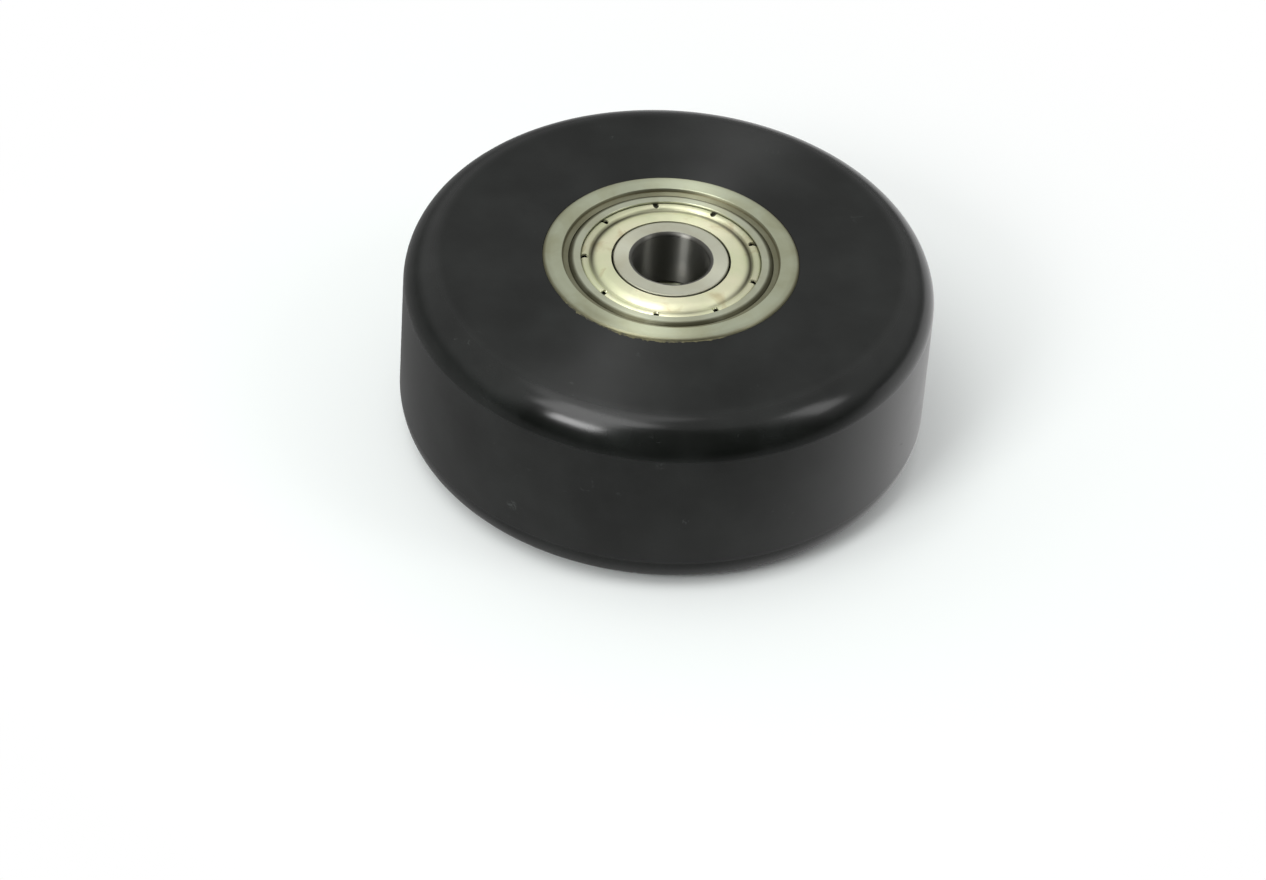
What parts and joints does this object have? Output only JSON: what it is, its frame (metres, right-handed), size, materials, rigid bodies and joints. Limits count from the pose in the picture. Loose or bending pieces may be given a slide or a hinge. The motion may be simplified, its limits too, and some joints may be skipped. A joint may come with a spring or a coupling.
{
  "type": "bar feeder anti-vibration wheel",
  "caption": "Solid black polymer wheel with rounded corners on a steel hub sleeve with shielded ball bearings, which steadies turning bar stock in a bar feeder.",
  "frame": {"origin": "centre of the wheel, on its axis and midway between its two faces", "axes": "+Z along the axle, out of the upper face; X and Y across the wheel, with one ball of each bearing on +X"},
  "size_m": [0.083, 0.083, 0.0326],
  "materials": {
    "polymer": "satin",
    "sleeve_steel": "satin",
    "ring_steel": "polished",
    "shield_steel": "satin",
    "cage_steel": "satin",
    "ball_steel": "polished"
  },
  "bodies": {
    "axle_side": {"axle_spacer": "sleeve_steel", "upper_inner_ring": "ring_steel", "lower_inner_ring": "ring_steel"},
    "wheel": {"wheel_body": "polymer", "hub_sleeve": "sleeve_steel", "upper_outer_ring": "ring_steel", "upper_outside_shield": "shield_steel", "upper_inside_shield": "shield_steel", "lower_outer_ring": "ring_steel", "lower_outside_shield": "shield_steel", "lower_inside_shield": "shield_steel"},
    "upper_cage": {"upper_cage_outside": "cage_steel", "upper_cage_inside": "cage_steel", "upper_cage_rivets": "cage_steel"},
    "upper_ball_1": {"upper_ball_1": "ball_steel"},
    "upper_ball_2": {"upper_ball_2": "ball_steel"},
    "upper_ball_3": {"upper_ball_3": "ball_steel"},
    "upper_ball_4": {"upper_ball_4": "ball_steel"},
    "upper_ball_5": {"upper_ball_5": "ball_steel"},
    "upper_ball_6": {"upper_ball_6": "ball_steel"},
    "upper_ball_7": {"upper_ball_7": "ball_steel"},
    "lower_cage": {"lower_cage_outside": "cage_steel", "lower_cage_inside": "cage_steel", "lower_cage_rivets": "cage_steel"},
    "lower_ball_1": {"lower_ball_1": "ball_steel"},
    "lower_ball_2": {"lower_ball_2": "ball_steel"},
    "lower_ball_3": {"lower_ball_3": "ball_steel"},
    "lower_ball_4": {"lower_ball_4": "ball_steel"},
    "lower_ball_5": {"lower_ball_5": "ball_steel"},
    "lower_ball_6": {"lower_ball_6": "ball_steel"},
    "lower_ball_7": {"lower_ball_7": "ball_steel"}
  },
  "joints": [
    {"name": "wheel_spin", "type": "hinge", "parent": "axle_side", "child": "wheel", "pos_m": [0, 0, 0], "axis": [0, 0, 1], "continuous": true},
    {"name": "upper_cage_orbit", "type": "hinge", "parent": "axle_side", "child": "upper_cage", "pos_m": [0, 0, 0.011], "axis": [0, 0, 1], "continuous": true},
    {"name": "upper_ball_1_spin", "type": "hinge", "parent": "upper_cage", "child": "upper_ball_1", "pos_m": [0.011, 0, 0.011], "axis": [0, 0, 1], "continuous": true},
    {"name": "upper_ball_2_spin", "type": "hinge", "parent": "upper_cage", "child": "upper_ball_2", "pos_m": [0.00686, 0.0086, 0.011], "axis": [0, 0, 1], "continuous": true},
    {"name": "upper_ball_3_spin", "type": "hinge", "parent": "upper_cage", "child": "upper_ball_3", "pos_m": [-0.00245, 0.01072, 0.011], "axis": [0, 0, 1], "continuous": true},
    {"name": "upper_ball_4_spin", "type": "hinge", "parent": "upper_cage", "child": "upper_ball_4", "pos_m": [-0.00991, 0.00477, 0.011], "axis": [0, 0, 1], "continuous": true},
    {"name": "upper_ball_5_spin", "type": "hinge", "parent": "upper_cage", "child": "upper_ball_5", "pos_m": [-0.00991, -0.00477, 0.011], "axis": [0, 0, 1], "continuous": true},
    {"name": "upper_ball_6_spin", "type": "hinge", "parent": "upper_cage", "child": "upper_ball_6", "pos_m": [-0.00245, -0.01072, 0.011], "axis": [0, 0, 1], "continuous": true},
    {"name": "upper_ball_7_spin", "type": "hinge", "parent": "upper_cage", "child": "upper_ball_7", "pos_m": [0.00686, -0.0086, 0.011], "axis": [0, 0, 1], "continuous": true},
    {"name": "lower_cage_orbit", "type": "hinge", "parent": "axle_side", "child": "lower_cage", "pos_m": [0, 0, -0.011], "axis": [0, 0, 1], "continuous": true},
    {"name": "lower_ball_1_spin", "type": "hinge", "parent": "lower_cage", "child": "lower_ball_1", "pos_m": [0.011, 0, -0.011], "axis": [0, 0, 1], "continuous": true},
    {"name": "lower_ball_2_spin", "type": "hinge", "parent": "lower_cage", "child": "lower_ball_2", "pos_m": [0.00686, 0.0086, -0.011], "axis": [0, 0, 1], "continuous": true},
    {"name": "lower_ball_3_spin", "type": "hinge", "parent": "lower_cage", "child": "lower_ball_3", "pos_m": [-0.00245, 0.01072, -0.011], "axis": [0, 0, 1], "continuous": true},
    {"name": "lower_ball_4_spin", "type": "hinge", "parent": "lower_cage", "child": "lower_ball_4", "pos_m": [-0.00991, 0.00477, -0.011], "axis": [0, 0, 1], "continuous": true},
    {"name": "lower_ball_5_spin", "type": "hinge", "parent": "lower_cage", "child": "lower_ball_5", "pos_m": [-0.00991, -0.00477, -0.011], "axis": [0, 0, 1], "continuous": true},
    {"name": "lower_ball_6_spin", "type": "hinge", "parent": "lower_cage", "child": "lower_ball_6", "pos_m": [-0.00245, -0.01072, -0.011], "axis": [0, 0, 1], "continuous": true},
    {"name": "lower_ball_7_spin", "type": "hinge", "parent": "lower_cage", "child": "lower_ball_7", "pos_m": [0.00686, -0.0086, -0.011], "axis": [0, 0, 1], "continuous": true}
  ],
  "couplings": [
    {"joint": "upper_cage_orbit", "follows": "wheel_spin", "ratio": 0.6353},
    {"joint": "upper_ball_1_spin", "follows": "wheel_spin", "ratio": 1.7125},
    {"joint": "upper_ball_2_spin", "follows": "wheel_spin", "ratio": 1.7125},
    {"joint": "upper_ball_3_spin", "follows": "wheel_spin", "ratio": 1.7125},
    {"joint": "upper_ball_4_spin", "follows": "wheel_spin", "ratio": 1.7125},
    {"joint": "upper_ball_5_spin", "follows": "wheel_spin", "ratio": 1.7125},
    {"joint": "upper_ball_6_spin", "follows": "wheel_spin", "ratio": 1.7125},
    {"joint": "upper_ball_7_spin", "follows": "wheel_spin", "ratio": 1.7125},
    {"joint": "lower_cage_orbit", "follows": "wheel_spin", "ratio": 0.6353},
    {"joint": "lower_ball_1_spin", "follows": "wheel_spin", "ratio": 1.7125},
    {"joint": "lower_ball_2_spin", "follows": "wheel_spin", "ratio": 1.7125},
    {"joint": "lower_ball_3_spin", "follows": "wheel_spin", "ratio": 1.7125},
    {"joint": "lower_ball_4_spin", "follows": "wheel_spin", "ratio": 1.7125},
    {"joint": "lower_ball_5_spin", "follows": "wheel_spin", "ratio": 1.7125},
    {"joint": "lower_ball_6_spin", "follows": "wheel_spin", "ratio": 1.7125},
    {"joint": "lower_ball_7_spin", "follows": "wheel_spin", "ratio": 1.7125}
  ]
}
